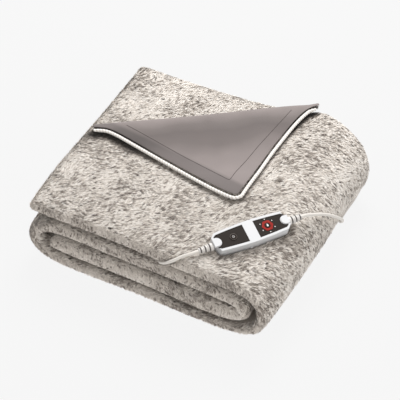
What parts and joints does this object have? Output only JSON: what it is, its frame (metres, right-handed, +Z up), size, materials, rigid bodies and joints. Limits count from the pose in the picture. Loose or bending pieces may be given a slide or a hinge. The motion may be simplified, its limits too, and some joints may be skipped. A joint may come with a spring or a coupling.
{
  "type": "electric heated blanket",
  "caption": "Long-pile plush heated blanket folded and rolled into a thick stack, one corner turned back over its smooth lining, with a dial handset lying on its leads.",
  "frame": {"origin": "on the surface under the middle of the folded blanket's outline, leads, coil and plug left out", "axes": "+X along the long front edge towards the round side of the roll, +Y from the open front rims to the back, +Z up"},
  "size_m": [0.4788, 0.5387, 0.1579],
  "materials": {
    "plush": "long-pile plush, cream with taupe tips",
    "lining": "smooth short-nap taupe lining",
    "edge_yarn": "whip-stitched cream yarn over a cord",
    "white_shell": "satin white",
    "display": "glossy black-brown",
    "red_light": "lit red ring",
    "pale_mark": "printed pale marks",
    "lead": "smooth off-white cable sheath",
    "tie": "black tie band",
    "pin_metal": "bright plated pins"
  },
  "bodies": {
    "root": {"plush_blanket": "plush", "corner_lining": "lining", "edge_cord": "edge_yarn", "handset_base": "white_shell", "handset_cover": "white_shell", "display_left": "display", "display_right": "display", "dial_ring": "red_light", "dial_button": "display", "power_button": "display", "dial_dot_1": "pale_mark", "dial_dot_2": "pale_mark", "dial_dot_3": "pale_mark", "dial_dot_4": "pale_mark", "dial_dot_5": "pale_mark", "dial_dot_6": "pale_mark", "side_slider": "white_shell", "relief_left": "lead", "relief_right": "lead", "lead_blanket": "lead", "lead_mains": "lead", "lead_tail": "lead", "lead_coil": "lead", "coil_tie": "tie", "plug_body": "lead", "plug_relief": "lead", "pin_left": "pin_metal", "pin_right": "pin_metal"}
  },
  "joints": []
}
